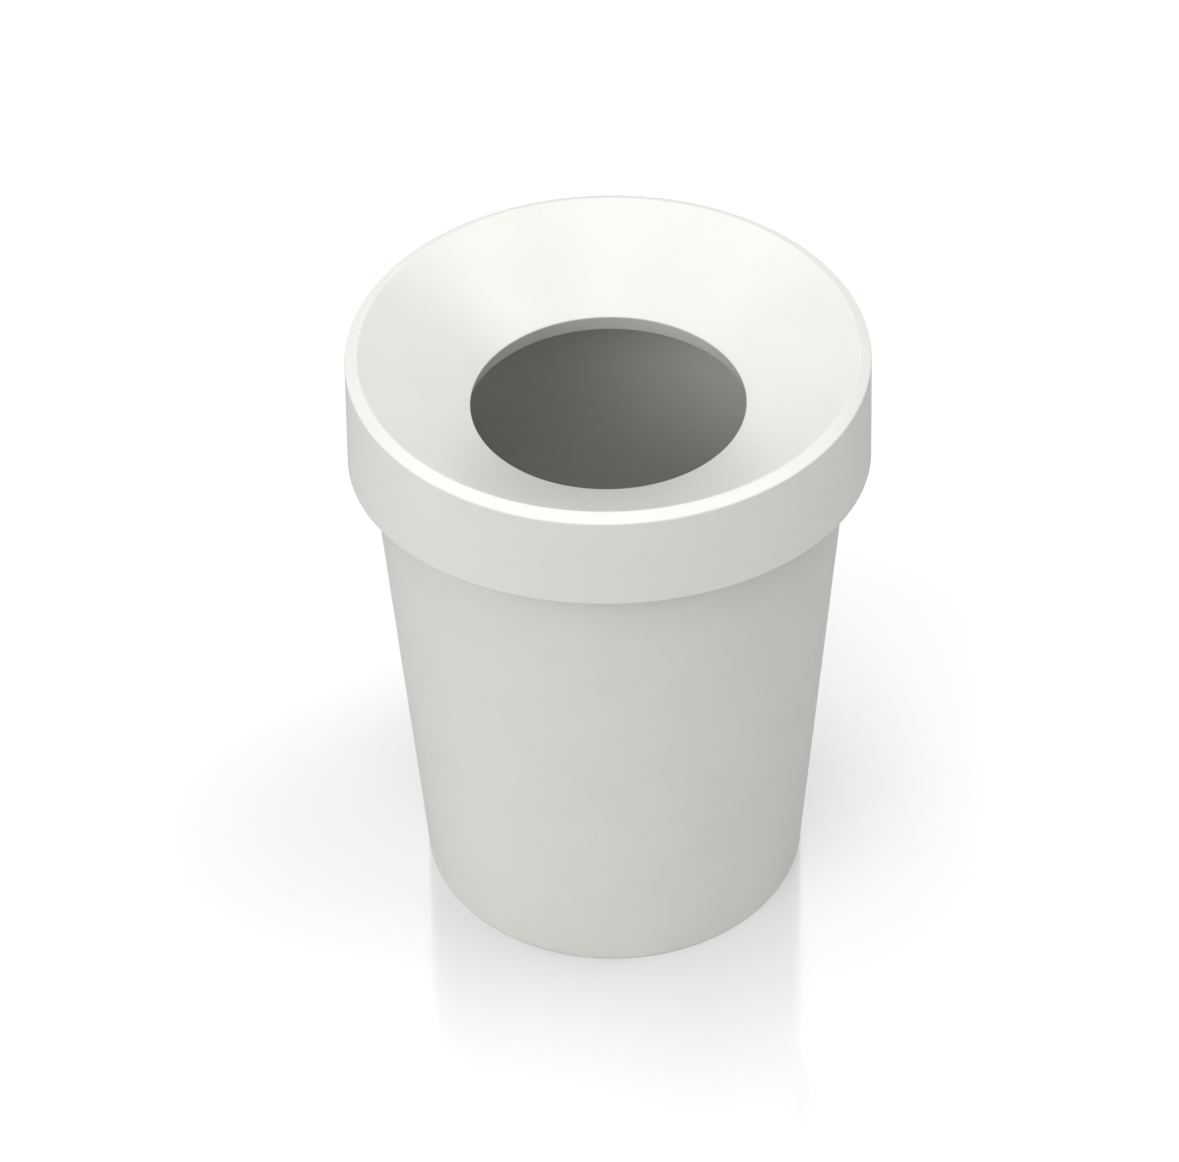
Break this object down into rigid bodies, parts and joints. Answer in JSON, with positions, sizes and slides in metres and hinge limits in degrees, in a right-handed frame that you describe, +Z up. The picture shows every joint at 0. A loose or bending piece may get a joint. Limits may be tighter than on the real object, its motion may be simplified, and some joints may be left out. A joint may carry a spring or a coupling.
{
  "type": "wastebasket",
  "caption": "Round tapered wastebasket with a loose inclined collar: skirt high at the back and low at the front, conical funnel and round mouth.",
  "frame": {"origin": "middle of the underside of the foot ring, on the floor", "axes": "+Z up; -Y is the front, where the collar is lowest; +X is to the right seen from the front"},
  "size_m": [0.3, 0.2999, 0.3859],
  "materials": {
    "bucket_plastic": "fine matt moulded polypropylene, off-white",
    "collar_plastic": "fine matt moulded polypropylene, off-white"
  },
  "bodies": {
    "bucket": {"bucket": "bucket_plastic"},
    "collar": {"collar": "collar_plastic"}
  },
  "joints": [
    {"name": "collar_lift", "type": "slide", "parent": "bucket", "child": "collar", "axis": [0, 0, 1], "range_m": [0, 0.15]}
  ]
}
